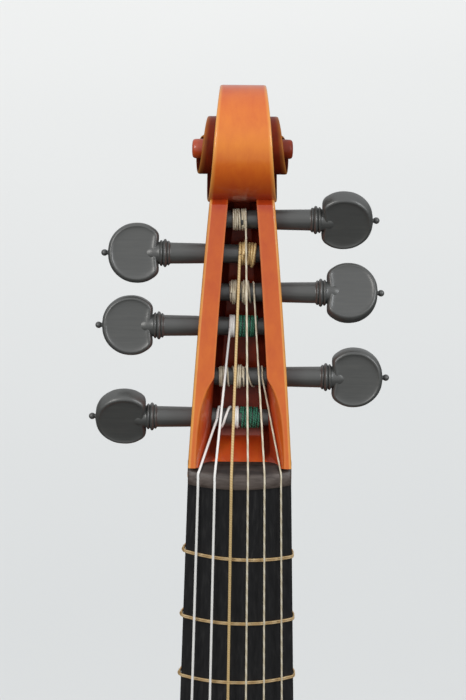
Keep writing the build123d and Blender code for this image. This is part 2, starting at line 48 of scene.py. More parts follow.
# ---- directions, in millimetres until a mesh is made ----
boardTilt, headTilt = math.radians(7.6), math.radians(27.6)
across = np.array([1.0, 0.0, 0.0])
downBoard = np.array([0.0, -math.sin(boardTilt), -math.cos(boardTilt)])
offBoard = np.array([0.0, -math.cos(boardTilt), math.sin(boardTilt)])
upHead = np.array([0.0, math.sin(headTilt), math.cos(headTilt)])
intoHead = np.array([0.0, math.cos(headTilt), -math.sin(headTilt)])
nutPoint = np.array([0.0, -25.0, 15.0])
headRoot = nutPoint - 10 * downBoard - 2.5 * offBoard
stringLength = 695.0                                       # from the nut to the bridge
boardLength, nutRadius, boardEndRadius = 470.0, 60.7, 75.0    # the board's top is rounder at the nut


def mixed(origin, x, a, directionA, b, directionB):  # origin plus three lengths along three directions
    x, a, b = np.broadcast_arrays(np.asarray(x, float), a, b)
    return origin + x[..., None] * across + a[..., None] * directionA + b[..., None] * directionB


def onBoard(x, along, height):  # across, down from the nut, up off the playing surface
    return mixed(nutPoint, x, along, downBoard, height, offBoard)


def onHead(x, along, depth):  # across, up from the nut end, back from the pegbox's rim
    return mixed(headRoot, x, along, upHead, depth, intoHead)


def eased(at, places, values):
    # a smooth curve through a short table: cubic pieces whose slopes are the mean of the neighbours' slopes
    places, values = np.asarray(places, float), np.asarray(values, float)
    slope = np.gradient(values, places)
    at = np.clip(at, places[0], places[-1])
    k = np.clip(np.searchsorted(places, at, side="right") - 1, 0, len(places) - 2)
    step = places[k + 1] - places[k]
    u = (at - places[k]) / step
    return (values[k] * (1 + 2 * u) * (1 - u) ** 2 + slope[k] * step * u * (1 - u) ** 2
            + values[k + 1] * u * u * (3 - 2 * u) - slope[k + 1] * step * u * u * (1 - u))


# ---- meshes ----
def patch(points, closed=False, caps=False, along=None, glow=0.5, wear=0.0):
    # a grid of points: each face joins a point to its neighbours, and a closed grid wraps round its columns
    rows, cols = points.shape[:2]
    r, c = np.meshgrid(np.arange(rows - 1), np.arange(cols if closed else cols - 1), indexing="ij")
    nextC = (c + 1) % cols
    faces = np.stack([r * cols + c, r * cols + nextC, (r + 1) * cols + nextC, (r + 1) * cols + c], -1)
    along = np.linspace(0, 1, rows) if along is None else np.asarray(along, float)
    u = np.stack([c, c + 1, c + 1, c], -1) / (cols if closed else cols - 1)
    v = np.stack([along[r], along[r], along[r + 1], along[r + 1]], -1)
    faces, uv = faces.reshape(-1, 4).tolist(), np.stack([u, v], -1).reshape(-1, 2)
    if caps:
        faces += [list(range(cols))[::-1], list(range((rows - 1) * cols, rows * cols))]
        uv = np.concatenate([uv, np.zeros((2 * cols, 2))])
    glow, wear = (np.broadcast_to(value, (rows, cols)).ravel() for value in (glow, wear))
    return {"points": points.reshape(-1, 3), "faces": faces, "uv": uv, "glow": glow, "wear": wear}


def makePiece(name, patches, finish, body="root", stands=(), sharp=38):
    points = np.concatenate([p["points"] for p in patches]) * 0.001
    faces, start = [], 0
    for p in patches:
        faces += [[start + k for k in face] for face in p["faces"]]
        start += len(p["points"])
    mesh = bpy.data.meshes.new(name)
    mesh.from_pydata(points.tolist(), [], faces)
    mesh.uv_layers.new(name="run").data.foreach_set("uv", np.concatenate([p["uv"] for p in patches]).ravel())
    for key in ("glow", "wear"):
        values = np.concatenate([p[key] for p in patches]).astype(np.float32)
        mesh.attributes.new(key, "FLOAT", "POINT").data.foreach_set("value", values)
    built = bmesh.new()
    built.from_mesh(mesh)
    bmesh.ops.remove_doubles(built, verts=built.verts, dist=2e-6)
    bmesh.ops.recalc_face_normals(built, faces=built.faces)
    built.to_mesh(mesh)
    built.free()
    mesh.shade_smooth()
    mesh.set_sharp_from_angle(angle=math.radians(sharp))
    piece = bpy.data.objects.new(name, mesh)
    bpy.context.scene.collection.objects.link(piece)
    mesh.materials.append(finish)
    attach(piece, body)
    if stands:
        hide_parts(*stands)
    return piece


def tube(path, radius, sides):
    # a round section carried along a path: at each point the ring lies across the local direction
    path = np.asarray(path, float)
    ahead = np.gradient(path, axis=0)
    ahead /= np.linalg.norm(ahead, axis=1, keepdims=True)
    guide = np.where(np.abs(ahead[:, :1]) < 0.8, across, upHead)
    side = np.cross(ahead, guide)
    side /= np.linalg.norm(side, axis=1, keepdims=True)
    other = np.cross(ahead, side)
    turn = np.linspace(0, 2 * np.pi, sides, endpoint=False)
    radius = np.broadcast_to(radius, len(path))[:, None, None]
    ring = np.cos(turn)[None, :, None] * side[:, None] + np.sin(turn)[None, :, None] * other[:, None]
    along = np.concatenate([[0], np.cumsum(np.linalg.norm(np.diff(path, axis=0), axis=1))])
    return patch(path[:, None] + radius * ring, closed=True, caps=True, along=along)


def turned(profile, origin, axis, xDirection, sides=40):
    # a profile of (distance out, radius) pairs spun round an axis
    profile = np.asarray(profile, float)
    yDirection = np.cross(axis, xDirection)
    angle = np.linspace(0, 2 * np.pi, sides, endpoint=False)
    ring = np.cos(angle)[:, None] * xDirection + np.sin(angle)[:, None] * yDirection
    return patch(origin + profile[:, :1, None] * axis + profile[:, 1:, None] * ring, closed=True, caps=True)


# ---- finishes ----
def newFinish(name):
    material = bpy.data.materials.new(name)
    material.use_nodes = True
    tree = material.node_tree
    return material, tree, tree.nodes["Principled BSDF"]


def stretchedNoise(tree, scale, detail=5.0, turnX=0.0, distortion=0.0):
    place = tree.nodes.new("ShaderNodeTexCoord")
    mapping = tree.nodes.new("ShaderNodeMapping")
    mapping.inputs["Scale"].default_value = scale
    mapping.inputs["Rotation"].default_value = (turnX, 0, 0)
    noise = tree.nodes.new("ShaderNodeTexNoise")
    noise.inputs["Scale"].default_value = 1.0
    noise.inputs["Detail"].default_value = detail
    noise.inputs["Distortion"].default_value = distortion
    tree.links.new(place.outputs["Object"], mapping.inputs["Vector"])
    tree.links.new(mapping.outputs["Vector"], noise.inputs["Vector"])
    return noise.outputs["Fac"]


def ramp(tree, value, stops):
    node = tree.nodes.new("ShaderNodeValToRGB")
    while len(node.color_ramp.elements) < len(stops):
        node.color_ramp.elements.new(0.5)
    for element, (place, colour) in zip(node.color_ramp.elements, stops):
        element.position, element.color = place, (*colour, 1)
    tree.links.new(value, node.inputs["Fac"])
    return node.outputs["Color"]


def blendColour(tree, share, low, high):
    node = tree.nodes.new("ShaderNodeMix")
    node.data_type = "RGBA"
    for socket, value in ((node.inputs["Factor"], share), (node.inputs[6], low), (node.inputs[7], high)):
        if isinstance(value, bpy.types.NodeSocket):
            tree.links.new(value, socket)
        else:
            socket.default_value = value
    return node.outputs[2]


def arithmetic(tree, operation, *values):
    node = tree.nodes.new("ShaderNodeMath")
    node.operation = operation
    for socket, value in zip(node.inputs, values):
        if isinstance(value, bpy.types.NodeSocket):
            tree.links.new(value, socket)
        else:
            socket.default_value = value
    return node.outputs[0]


def bumped(tree, shader, height, distance, strength=0.5):
    node = tree.nodes.new("ShaderNodeBump")
    node.inputs["Distance"].default_value = distance
    node.inputs["Strength"].default_value = strength
    tree.links.new(height, node.inputs["Height"])
    tree.links.new(node.outputs["Normal"], shader.inputs["Normal"])


def attribute(tree, name):
    node = tree.nodes.new("ShaderNodeAttribute")
    node.attribute_name = name
    return node.outputs["Fac"]


headVarnish = {
    # the darkest stops serve painted shade and the brightest stops painted highlight
    "stops": [(0.0, (0.022, 0.005, 0.003)), (0.16, (0.11, 0.013, 0.006)), (0.42, (0.47, 0.048, 0.005)),
              (0.62, (0.62, 0.118, 0.006)), (0.85, (0.78, 0.225, 0.012)), (1.0, (0.86, 0.34, 0.03))],
    "edge": (0.92, 0.46, 0.09, 1),   # the colour where handling has thinned the varnish
    "roughness": 0.40, "coat": 0.55, "coatRoughness": 0.05, "cloud": 0.20, "flame": 0.14,
}


def varnishedHead(name):
    material, tree, shader = newFinish(name)
    cloud = stretchedNoise(tree, (60, 60, 60), 3)
    flame = stretchedNoise(tree, (260, 40, 160), 4, headTilt, 0.6)
    grain = stretchedNoise(tree, (900, 900, 90), 3, headTilt)
    # each point's tone carries painted light and shade as well as the varnish's own tone
    tone = attribute(tree, "glow")
    for noise, share in ((cloud, headVarnish["cloud"]), (flame, headVarnish["flame"]), (grain, 0.05)):
        offset = arithmetic(tree, "MULTIPLY", arithmetic(tree, "SUBTRACT", noise, 0.5), share)
        tone = arithmetic(tree, "ADD", tone, offset)
    colour = ramp(tree, tone, headVarnish["stops"])
    patchy = arithmetic(tree, "MULTIPLY_ADD", cloud, 0.9, 0.35)
    thin = arithmetic(tree, "MINIMUM", arithmetic(tree, "MULTIPLY", attribute(tree, "wear"), patchy), 1.0)
    colour = blendColour(tree, thin, colour, headVarnish["edge"])
    tree.links.new(colour, shader.inputs["Base Color"])
    # both layers fade where the painted tone is darkest, so the hollows in painted shade hardly shine
    polish = arithmetic(tree, "MINIMUM", arithmetic(tree, "MAXIMUM", arithmetic(
        tree, "MULTIPLY_ADD", attribute(tree, "glow"), 6.0, -1.2), 0.0), 1.0)
    tree.links.new(arithmetic(tree, "MULTIPLY", polish, headVarnish["coat"]), shader.inputs["Coat Weight"])
    tree.links.new(arithmetic(tree, "MULTIPLY", polish, 0.5), shader.inputs["Specular IOR Level"])
    shader.inputs["Roughness"].default_value = headVarnish["roughness"]
    shader.inputs["Coat Roughness"].default_value = headVarnish["coatRoughness"]
    shader.inputs["Coat IOR"].default_value = 1.52
    bumped(tree, shader, cloud, 0.0006, 0.25)
    return material


def grained(name, look):
    # fine stretched noise for the grain and a broad one for the clouds, each moving the colour along a ramp
    material, tree, shader = newFinish(name)
    grain = stretchedNoise(tree, look["grain"], 6, look.get("turn", 0.0), look.get("wander", 0.3))
    cloud = stretchedNoise(tree, look.get("cloudScale", (9, 9, 9)), 3)
    share = look.get("cloud", 0.3)
    value = arithmetic(tree, "ADD", arithmetic(tree, "MULTIPLY", grain, 1 - share),
                       arithmetic(tree, "MULTIPLY", cloud, share))
    if "tone" in look:                # some pieces carry painted light and shade in a per-point attribute
        local = arithmetic(tree, "MULTIPLY_ADD", attribute(tree, "glow"), look["tone"], -0.5 * look["tone"])
        value = arithmetic(tree, "ADD", value, local)
    tree.links.new(ramp(tree, value, look["stops"]), shader.inputs["Base Color"])
    rough = arithmetic(tree, "MULTIPLY_ADD", grain, look.get("roughSpread", 0.1), look["roughness"])
    tree.links.new(rough, shader.inputs["Roughness"])
    shader.inputs["Coat Weight"].default_value = look.get("coat", 0.0)
    shader.inputs["Coat Roughness"].default_value = look.get("coatRoughness", 0.1)
    shader.inputs["Specular IOR Level"].default_value = look.get("specular", 0.5)
    shader.inputs["Metallic"].default_value = look.get("metal", 0.0)
    bumped(tree, shader, grain, look.get("bump", 0.0003), 0.4)
    return material


def wound(name, look):
    # rings or a twist that follow the strand: a sine of its length and of the way round it
    material, tree, shader = newFinish(name)
    place = tree.nodes.new("ShaderNodeUVMap")
    place.uv_map = "run"
    split = tree.nodes.new("ShaderNodeSeparateXYZ")
    tree.links.new(place.outputs["UV"], split.inputs[0])
    around = arithmetic(tree, "MULTIPLY", split.outputs[0], 2 * math.pi * look["starts"])
    phase = arithmetic(tree, "MULTIPLY_ADD", split.outputs[1], 2 * math.pi / look["pitch"], around)
    wave = arithmetic(tree, "MULTIPLY_ADD", arithmetic(tree, "SINE", phase), 0.5, 0.5)
    fleck = stretchedNoise(tree, (700, 700, 700), 3)
    value = arithmetic(tree, "MULTIPLY_ADD", wave, 0.7, arithmetic(tree, "MULTIPLY", fleck, 0.3))
    tree.links.new(ramp(tree, value, look["stops"]), shader.inputs["Base Color"])
    shader.inputs["Roughness"].default_value = look["roughness"]
    shader.inputs["Metallic"].default_value = look.get("metal", 0.0)
    bumped(tree, shader, wave, look.get("bump", 0.0001), 0.6)
    return material


finishes = {
    "varnished_spruce": grained("spruceVarnish", {
        "grain": (620, 620, 7), "cloud": 0.35, "cloudScale": (7, 7, 5), "wander": 0.15,
        "stops": [(0.28, (0.33, 0.105, 0.022)), (0.5, (0.56, 0.215, 0.048)), (0.72, (0.68, 0.30, 0.075))],
        "roughness": 0.26, "coat": 0.8, "coatRoughness": 0.08, "bump": 0.0002}),
    "varnished_maple": grained("mapleVarnish", {
        "grain": (14, 14, 150), "cloud": 0.3, "cloudScale": (10, 10, 6), "wander": 1.2,
        "stops": [(0.3, (0.30, 0.060, 0.014)), (0.5, (0.50, 0.130, 0.026)), (0.72, (0.66, 0.235, 0.05))],
        "roughness": 0.26, "coat": 0.85, "coatRoughness": 0.07, "bump": 0.0001}),
    "bare_spruce": grained("spruceBare", {
        "grain": (500, 500, 10), "cloud": 0.2,
        "stops": [(0.3, (0.62, 0.42, 0.22)), (0.7, (0.80, 0.62, 0.38))], "roughness": 0.6}),
    "bare_maple": grained("mapleBare", {
        "grain": (90, 300, 300), "cloud": 0.3, "cloudScale": (40, 40, 40),
        "stops": [(0.3, (0.50, 0.29, 0.12)), (0.5, (0.66, 0.42, 0.20)), (0.72, (0.74, 0.51, 0.27))],
        "roughness": 0.48, "bump": 0.0002}),
    "ebony": grained("ebonyBoard", {
        "grain": (800, 800, 16), "turn": boardTilt, "cloud": 0.25, "cloudScale": (30, 30, 8),
        "stops": [(0.3, (0.010, 0.010, 0.011)), (0.55, (0.017, 0.017, 0.018)), (0.75, (0.036, 0.035, 0.035))],
        "roughness": 0.44, "roughSpread": 0.2, "specular": 0.3, "bump": 0.0003}),
    "peg_ebony": grained("ebonyPeg", {
        "grain": (70, 900, 900), "cloud": 0.3, "cloudScale": (60, 60, 60),
        "stops": [(0.3, (0.054, 0.056, 0.054)), (0.55, (0.062, 0.064, 0.061)), (0.75, (0.072, 0.073, 0.068))],
        "roughness": 0.32, "roughSpread": 0.08, "specular": 0.9, "bump": 0.00012}),
    "nut_ebony": grained("ebonyNut", {
        "grain": (60, 700, 700), "cloud": 0.3, "cloudScale": (90, 90, 90), "tone": 0.9,
        "stops": [(0.25, (0.016, 0.010, 0.008)), (0.5, (0.045, 0.032, 0.026)), (0.8, (0.110, 0.088, 0.076))],
        "roughness": 0.38, "roughSpread": 0.12, "specular": 0.5, "bump": 0.0002}),
    "fret_gut": wound("gutFret", {
        "starts": 1, "pitch": 6.5, "roughness": 0.42, "bump": 0.00003,
        "stops": [(0.0, (0.40, 0.26, 0.11)), (0.5, (0.50, 0.34, 0.16)), (1.0, (0.60, 0.45, 0.25))]}),
    "plain_gut": wound("gutPlain", {
        "starts": 1, "pitch": 7.0, "roughness": 0.34, "bump": 0.00002,
        "stops": [(0.0, (0.56, 0.48, 0.33)), (0.5, (0.70, 0.62, 0.46)), (1.0, (0.82, 0.76, 0.62))]}),
    "copper_wound": wound("gutRoped", {
        "starts": 1, "pitch": 1.3, "roughness": 0.40, "metal": 0.1, "bump": 0.00001,
        "stops": [(0.0, (0.60, 0.41, 0.17)), (0.5, (0.68, 0.48, 0.22)), (1.0, (0.76, 0.57, 0.29))]}),
    "silver_wound": wound("silverWound", {
        "starts": 0, "pitch": 0.45, "roughness": 0.45, "metal": 0.0, "bump": 0.00004,
        "stops": [(0.1, (0.84, 0.82, 0.78)), (0.5, (0.94, 0.93, 0.90)), (0.9, (0.98, 0.98, 0.96))]}),
    "green_silk": wound("silkGreen", {
        "starts": 2, "pitch": 1.3, "roughness": 0.6, "bump": 0.00016,
        "stops": [(0.1, (0.006, 0.055, 0.030)), (0.5, (0.018, 0.150, 0.085)), (0.9, (0.09, 0.34, 0.22))]}),
}
finishes["red_brown_varnish"] = varnishedHead("headVarnish")
for name, node in nodes.items():
    node.data.materials.clear()
    node.data.materials.append(finishes[slots[name]])
print("finishes made:", len(finishes))

# ---- scroll ----
scroll = {
    "middle": (152.6, 15.0),          # along the head and back from its rim
    "turns": [-1.6, -1, 0, 1, 2, 3, 4, 5, 6, 7, 8],   # quarter turns, from the top over the front
    "radii": [31.2, 31.0, 30.5, 28.6, 25.3, 20.2, 15.4, 13.6, 12.0, 9.4, 6.5],
    "halfWidths": [15.3, 13.6, 11.05, 13.9, 16.7, 16.9, 17.1, 19.3, 21.6, 22.0, 18.0],
    "edge": 0.95, "hollow": 1.6, "flute": 1.7, "eyeRadius": 4.7, "eyeHalfWidth": 24.0,
    # painted light and shade along the turns: a painted highlight on the front of the first turn, painted
    # shade under its curl and on the inner turns
    "glow": ([-1.6, -0.4, 0.3, 0.55, 0.95, 1.25, 1.55, 1.75, 1.9, 2.6, 4, 6, 8],
             [0.44, 0.50, 0.56, 0.66, 0.80, 0.60, 0.46, 0.32, 0.20, 0.12, 0.24, 0.20, 0.15]),
}


def voluteWall():
    # each section: a face with chamfered edges, flanks hollowed to the next turn, closed inside the wood;
    # the section goes round the middle while its radius shrinks and its width grows
    t = np.linspace(-1.6, 8, 240)
    radius = eased(t, scroll["turns"], scroll["radii"])[:, None]
    half = eased(t, scroll["turns"], scroll["halfWidths"])[:, None]
    inner = eased(np.minimum(t + 4, 8), scroll["turns"], scroll["radii"])[:, None]
    inner = np.where(t[:, None] > 4, np.minimum(inner, radius - 2) * 0.5, inner) - 0.4
    edge, deep = scroll["edge"], radius - inner
    across01 = np.linspace(-1, 1, 25)[None]
    fluteDepth = scroll["flute"] * np.clip((-0.1 - t[:, None]) / 0.6, 0, 1)
    faceX = across01 * (half - edge)
    faceR = radius - fluteDepth * np.sin(np.pi * np.abs(across01)) ** 2 + 0 * faceX
    hollow = scroll["hollow"]
    sideX = np.concatenate([half - 0.25 * edge, half, half - 0.15, half - 0.75 * hollow, half - hollow,
                            half - hollow, half * 0.3], 1)
    sideR = np.concatenate([radius - 0.3 * edge, radius - edge, radius - edge - 0.4, radius - 0.45 * deep,
                            radius - 0.75 * deep, inner, inner], 1)
    x = np.concatenate([-sideX[:, ::-1], faceX, sideX], 1)
    r = np.concatenate([sideR[:, ::-1], faceR, sideR], 1)
    angle = (np.pi / 2 * t)[:, None]
    points = onHead(x, scroll["middle"][0] + r * np.cos(angle), scroll["middle"][1] - r * np.sin(angle))
    glow = np.interp(t, *scroll["glow"])[:, None] + 0 * x
    # painted shade: the flanks down in the hollows between the turns are darkest
    glow[:, :5] = 0.04
    glow[:, -5:] = 0.04
    wear = np.zeros_like(x)
    worn = np.interp(t, [-1.6, 0.4, 0.9, 2.0, 2.5, 8], [0.5, 0.7, 0.85, 0.6, 0.3, 0.35])
    wear[:, [5, 6, -7, -6]] = worn[:, None]
    wear[:, [7, -8]] = 0.5 * worn[:, None]
    return patch(points, closed=True, caps=True, glow=np.clip(glow, 0.03, 1), wear=wear)


def eyeButton():
    # the button at the middle of the spiral, a short turned bar across the head
    reach, radius = scroll["eyeHalfWidth"], scroll["eyeRadius"]
    half = [(0, radius), (reach - 3, radius), (reach - 1.1, radius - 0.1), (reach - 0.35, radius - 0.55),
            (reach, radius - 1.4), (reach + 0.15, radius * 0.35), (reach + 0.15, 0.05)]
    profile = [(-out, r) for out, r in half[::-1]] + half[1:]
    button = turned(profile, onHead(0, *scroll["middle"]), across, upHead)
    # painted light and shade: the half of the button at negative x is lighter than the other half
    button["glow"] = np.where(button["points"][:, 0] < 0, 0.45, 0.27)
    return button


makePiece("scroll", [voluteWall(), eyeButton()], finishes["red_brown_varnish"], stands=["neck_and_head"],
          sharp=50)
print("scroll made")

# ---- pegbox and neck ----
pegbox = {
    "lid": ([-6, -0.3, 0, 126.5, 130, 134, 150], [10, 8, 0, 0, 5, 14, 25]),        # how far back the rim lies
    "floor": ([-0.3, 0, 13, 40, 80, 118, 129], [8, 4.6, 21, 24, 21.5, 19, 16]),
    # the half width of the two hollows beside the nut
    "mouth": ([-2, 10, 20, 28, 34, 39, 43.5], [21.3, 20.9, 20.1, 18.9, 17.2, 15.2, 12.6]),
    "back": ([-6, -4, 30, 80, 120, 129, 137, 145], [31, 31, 32.5, 29.5, 30.5, 33, 38, 42]),
    "cheekEdge": 1.1, "hollowDepth": 9.5, "flute": 1.3,
}


def wallOutside(along):  # half the head's width
    return 24.9 - 0.0585 * along - 0.00012 * along ** 2


def pegboxWall():
    # half a section runs from the cavity's floor up its wall, over the rim, down the outside, round the back,
    # and the other half mirrors it; the cavity widens near the nut into a hollow that fades with depth
    q = np.concatenate([[-6, -3, -0.3, 0], np.linspace(0.6, 14, 15), np.linspace(15.5, 128, 76),
                        [128.98, 129, 130, 132, 134, 137, 141, 145]])[:, None]
    outside = wallOutside(q)
    lid = np.interp(q, *pegbox["lid"])
    back = eased(q, *pegbox["back"])
    inCavity = (q > -0.31) & (q < 128.99)
    floor = np.where(inCavity, np.interp(q, *pegbox["floor"]), lid + 0.01)
    plain = 14.8 - 0.04533 * q - 0.000142 * q ** 2
    mouth = np.maximum(plain, np.where(q < 43.5, eased(q, *pegbox["mouth"]), 0))
    share = np.linspace(0, 1, 12)[None]                  # 0 at the floor, 1 just under the rim
    wallR = floor * (1 - share) + (lid + 0.6) * share
    wallR = np.where(inCavity, wallR, lid + 0.01)
    fade = 1 - np.clip(wallR / pegbox["hollowDepth"], 0, 1) ** 1.25
    wallX = plain + (mouth - plain) * fade
    corner = np.clip(1 - share / 0.18, 0, 1) ** 2 * np.minimum(3.0, floor * 0.3)
    wallX = wallX - corner * inCavity
    floorX = np.array([0, 0.35, 0.7, 0.92])[None] * wallX[:, :1]
    edge = pegbox["cheekEdge"]
    rimX = np.concatenate([mouth + 0.15, mouth + 0.7, mouth + 1.1, (mouth + outside) / 2,
                           outside - edge - 0.35, outside - edge, outside - 0.35 * edge, outside], 1)
    rimR = lid + np.array([0.15, 0, 0, -0.08, 0, 0.05, 0.4, 1.3])[None]
    sideX = np.concatenate([outside, outside + 0.15, outside, outside - 0.5, outside - 1.8, outside - 3.6], 1)
    sideR = np.concatenate([lid * 0.9 + 3, (lid + back) / 2, back - 5, back - 2.3, back - 0.6, back], 1)
    backShare = np.linspace(1, 0, 9)[None, 1:]
    backX = backShare * (outside - 3.6)
    backR = back - pegbox["flute"] * np.sin(np.pi * backShare) ** 2
    x = np.concatenate([floorX, wallX, rimX, sideX, backX], 1)
    r = np.concatenate([floor + 0 * floorX, wallR, rimR, sideR, backR], 1)
    # painted light and shade: the cavity floor darkens the deeper it lies, the scooped walls carry a painted
    # highlight near the rim, the rim darkens under the scroll, and the back is a little darker than the sides
    cavityPaintedShade = np.interp(q, [-1, 9, 13, 17, 130], [0.52, 0.46, 0.38, 0.25, 0.23])
    scooped = np.clip((mouth - plain) / 2.0, 0, 1)
    lit = np.clip(1.25 - wallR / pegbox["hollowDepth"], 0, 1)
    wallPaintedLight = 0.13 + 0.36 * scooped * lit + 0.1 * share ** 4
    rimPaintedShade = np.interp(q, [0, 60, 122, 128], [0.66, 0.60, 0.53, 0.34])
    glow = np.concatenate([cavityPaintedShade + 0 * floorX, wallPaintedLight, rimPaintedShade + 0 * rimX, 0.46 + 0 * sideX + 0 * q,
                           0.42 + 0 * backX], 1)
    wear = np.zeros_like(x)
    first = floorX.shape[1] + wallX.shape[1]
    wear[:, first:first + 2] = 0.12
    wear[:, first + 5:first + 8] = np.array([0.45, 0.85, 0.7])
    x, r = (np.concatenate([half, sign * half[:, -2:0:-1]], 1) for half, sign in ((x, -1), (r, 1)))
    glow, wear = (np.concatenate([half, half[:, -2:0:-1]], 1) for half in (glow, wear))
    return patch(onHead(x, q + 0 * x, r), closed=True, caps=True, glow=glow, wear=wear)


neck = {"heelEnd": -286.0, "backAtHeel": 49.0, "fullness": 2.35}


def halfBoard(along):
    return (50 + 0.0588 * along) / 2


def boardUnder(along):
    return -9.2 - 6.3 * along / boardLength


def neckShaft():
    # down to the heel a section is flat under the board and a circle's arc behind; below, the sections are
    # level and rounder than an ellipse, and their backs sweep out to the body
    s = np.linspace(-8, 225, 60)[:, None]
    half, low, back = halfBoard(s), boardUnder(s), -27.0 - 6.0 * s / 265
    deep = low - back
    radius = (half ** 2 + deep ** 2) / (2 * deep)
    swing = np.arcsin(np.clip(half / radius, -1, 1)) * np.linspace(1, -1, 41)[None]
    shaft = onBoard(radius * np.sin(swing), s + 0 * swing, back + radius * (1 - np.cos(swing)))
    z = np.linspace(-236, neck["heelEnd"], 22)[:, None]
    down = (15 - z) / math.cos(boardTilt)
    front = -25 - down * math.sin(boardTilt) - boardUnder(down) * math.cos(boardTilt) + 0.4
    sweep = np.clip((-236 - z) / 42, 0, 1)
    behind = -25.6 + (neck["backAtHeel"] + 25.6) * sweep ** 1.75
    turn = np.pi / 2 * np.linspace(1, -1, 41)[None]
    power = 2 / np.interp(sweep, [0, 0.4, 1], [2.0, 2.15, neck["fullness"]])
    side = np.sign(turn) * np.abs(np.sin(turn)) ** power * halfBoard(down)
    reach = front + (behind - front) * np.abs(np.cos(turn)) ** power
    heel = np.stack([side, reach, z + 0 * side], -1)
    rows = np.concatenate([shaft, heel])
    # painted light and shade along the neck: lighter down the middle of the shaft, darker at the nut end and
    # down the heel
    neckPaintedLight = np.interp(np.arange(len(rows)), [0, 6, 40, 62, 81], [0.44, 0.66, 0.72, 0.6, 0.45])[:, None]
    return patch(rows, closed=True, caps=True, glow=neckPaintedLight + 0 * rows[..., 0])


for name, built in (("pegbox", pegboxWall()), ("neckShaft", neckShaft())):
    makePiece(name, [built], finishes["red_brown_varnish"], sharp=50)
print("pegbox and neck made")

# ---- nut ----
nut = {
    "halfWidth": 25.0,
    # along the board and up off it, from the playing edge over the top to the back
    "profile": [(0.0, -11.8), (0.0, 0.6), (-0.25, 1.12), (-0.9, 1.3), (-2.5, 1.15), (-4.8, 0.45),
                (-6.4, -0.35), (-7.0, -0.9), (-7.5, -1.9), (-9.3, -5.9), (-9.6, -6.8), (-9.6, -11.8)],
    "ease": ([0.93, 0.97, 0.992, 1], [0, 0.06, 0.3, 0.75]),     # how far the ends drop, by share of the width
}


def boardFall(x, along=0.0):
    # how far the round top has dropped at a distance x from the middle
    radius = nutRadius + (boardEndRadius - nutRadius) * np.clip(along, 0, boardLength) / boardLength
    return radius - np.sqrt(radius ** 2 - x ** 2)


def nutBar():
    # the profile carried across the board; its top follows the board's round, and its ends are eased
    shape = np.array(nut["profile"])
    shares = np.array([-1, -0.992, -0.97, *np.linspace(-0.93, 0.93, 41), 0.97, 0.992, 1])[:, None]
    x = nut["halfWidth"] * shares
    ease = np.interp(np.abs(shares), *nut["ease"])
    onTop = (shape[:, 1] > -7)[None]
    height = shape[:, 1][None] - onTop * (boardFall(x) * np.where(shape[:, 1] < -5, 0.35, 1.0)[None] + ease)
    # painted light and shade: the back slope behind the ridge is darker than the top and the playing edge
    tone = np.interp(shape[:, 0], [-8.0, -7.3, -6.8, 0], [0.30, 0.34, 0.62, 0.66])[None]
    points = onBoard(x + 0 * height, shape[:, 0][None] + 0 * x, height)
    return patch(points, closed=True, caps=True, glow=tone)


makePiece("nutBar", [nutBar()], finishes["nut_ebony"], stands=["nut"], sharp=40)

# ---- frets: a doubled loop of gut round board and neck, knotted on the bass side ----
frets = {
    "slants": [2.7, 1.4, 0.3, 0.6, -0.4, 0.5, 0.2],      # how far each leans across the board
    "strand": 0.46, "endStrand": 0.40, "hitchStrand": 0.42, "tail": 3.2,
}


def fretLoop(number, shift, lift):
    # the board's round top, its sides and the neck's arc, walked once round; the loop leans by its slant
    place = stringLength * (1 - 2 ** (-number / 12)) + shift
    half, low, back = halfBoard(place), boardUnder(place), -27.0 - 6.0 * place / 265
    top = np.stack([np.linspace(-half, half, 60), -boardFall(np.linspace(-half, half, 60), place)], 1)
    deep = low - back
    radius = (half ** 2 + deep ** 2) / (2 * deep)
    swing = np.arcsin(half / radius) * np.linspace(1, -1, 60)
    under = np.stack([radius * np.sin(swing), back + radius * (1 - np.cos(swing))], 1)
    loop = np.concatenate([top, under])
    closedLoop = np.concatenate([loop, loop[:1]])
    length = np.concatenate([[0], np.cumsum(np.linalg.norm(np.diff(closedLoop, axis=0), axis=1))])
    at = np.linspace(0, length[-1], 240, endpoint=False)
    loop = np.stack([np.interp(at, length, closedLoop[:, 0]), np.interp(at, length, closedLoop[:, 1])], 1)
    for _ in range(3):                # ease the corners, then stand the strand off the wood
        loop = 0.25 * np.roll(loop, 1, 0) + 0.5 * loop + 0.25 * np.roll(loop, -1, 0)
    ahead = np.roll(loop, -1, 0) - np.roll(loop, 1, 0)
    ahead /= np.linalg.norm(ahead, axis=1, keepdims=True)
    loop = loop + lift * np.stack([-ahead[:, 1], ahead[:, 0]], 1)
    lean = frets["slants"][number - 1] * loop[:, 0] / (2 * half)
    path = onBoard(loop[:, 0], place + lean, loop[:, 1])
    return np.concatenate([path, path[:2]]), half, place


for number in range(1, 8):
    strands = []
    for shift in (-0.44, 0.44):
        path, half, place = fretLoop(number, shift, frets["strand"] + 0.1)
        strands.append(tube(path, frets["strand"], 8))
    lean = -frets["slants"][number - 1] / 2
    knotX, knotTop = -half - 0.75, -boardFall(half, place) - 1.5
    steps = np.linspace(0, 1, 14)
    for lead, spread in ((-1, 0.1), (-0.6, -0.5)):        # the two trimmed ends, pointing towards the nut
        run = place + lean + 0.8 + (lead * frets["tail"] - 0.8) * steps
        tail = onBoard(knotX + spread * 0.5 * steps, run, knotTop + 0.9 * np.sin(2.5 * steps) + spread)
        strands.append(tube(tail, frets["endStrand"], 8))
    bend = np.linspace(0, 2 * np.pi, 22)
    hitch = onBoard(knotX - 0.15 + 0.45 * np.cos(bend), place + lean + 0.9 * np.sin(bend),
                    knotTop - 0.4 + 0.7 * np.cos(bend))
    strands.append(tube(hitch, frets["hitchStrand"], 8))
    makePiece(f"fretLoop_{number}", strands, finishes["fret_gut"], stands=[f"fret_{number}"], sharp=60)
print("nut and frets made")

